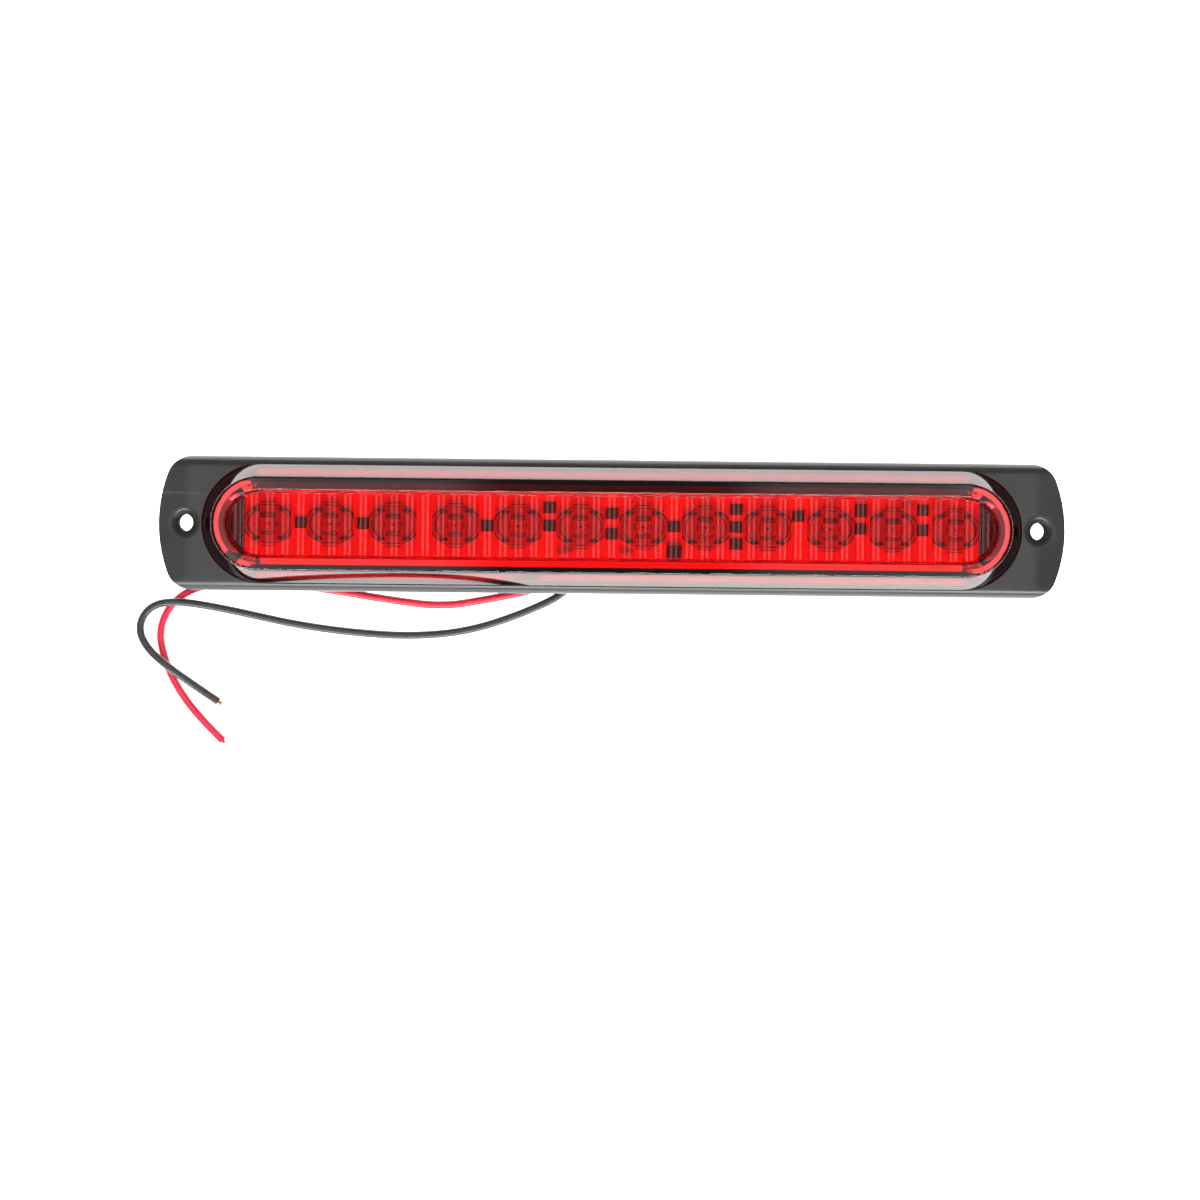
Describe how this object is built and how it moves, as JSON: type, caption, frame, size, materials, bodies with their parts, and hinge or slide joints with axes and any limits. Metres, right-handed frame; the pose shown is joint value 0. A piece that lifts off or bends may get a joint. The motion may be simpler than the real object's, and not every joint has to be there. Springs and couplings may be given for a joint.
{
  "type": "third brake light",
  "caption": "Slim surface-mount high-level brake light: black eared base, red fluted stadium lens over LEDs with clear optics, and two free wire leads.",
  "frame": {"origin": "centre of the back of the mounting pads, on the surface that the lamp is fixed to", "axes": "+X along the lamp's length, +Y across it, +Z out of the lens; the leads leave towards -X and -Y"},
  "size_m": [0.2428, 0.0758, 0.018],
  "materials": {
    "black_plastic": "satin moulded ABS, black",
    "red_lens": "clear red acrylic, polished",
    "sealant": "cured adhesive bead, dark grey",
    "board": "glass-epoxy board with white solder mask",
    "led_package": "white thermoplastic LED package",
    "clear_optic": "clear acrylic optic",
    "chip_black": "black moulded chip",
    "chip_tan": "ceramic chip capacitor, tan",
    "solder": "bright solder",
    "red_insulation": "red PVC wire insulation",
    "black_insulation": "black PVC wire insulation",
    "copper": "bare stranded copper",
    "gland_rubber": "soft black rubber",
    "foam": "closed-cell foam tape, dark grey"
  },
  "bodies": {
    "root": {"base_housing": "black_plastic", "lens": "red_lens", "lens_sealant": "sealant", "circuit_board": "board", "led_01": "led_package", "led_02": "led_package", "led_03": "led_package", "led_04": "led_package", "led_05": "led_package", "led_06": "led_package", "led_07": "led_package", "led_08": "led_package", "led_09": "led_package", "led_10": "led_package", "led_11": "led_package", "led_12": "led_package", "optic_01": "clear_optic", "optic_02": "clear_optic", "optic_03": "clear_optic", "optic_04": "clear_optic", "optic_05": "clear_optic", "optic_06": "clear_optic", "optic_07": "clear_optic", "optic_08": "clear_optic", "optic_09": "clear_optic", "optic_10": "clear_optic", "optic_11": "clear_optic", "optic_12": "clear_optic", "resistors": "chip_black", "capacitors": "chip_tan", "reverse_diode": "chip_black", "surge_suppressor": "chip_black", "solder_joints": "solder", "inner_red_lead": "red_insulation", "inner_black_lead": "black_insulation", "wire_gland": "gland_rubber", "red_lead": "red_insulation", "black_lead": "black_insulation", "red_lead_core": "copper", "black_lead_core": "copper", "mounting_pad_left": "foam", "mounting_pad_right": "foam"}
  },
  "joints": []
}
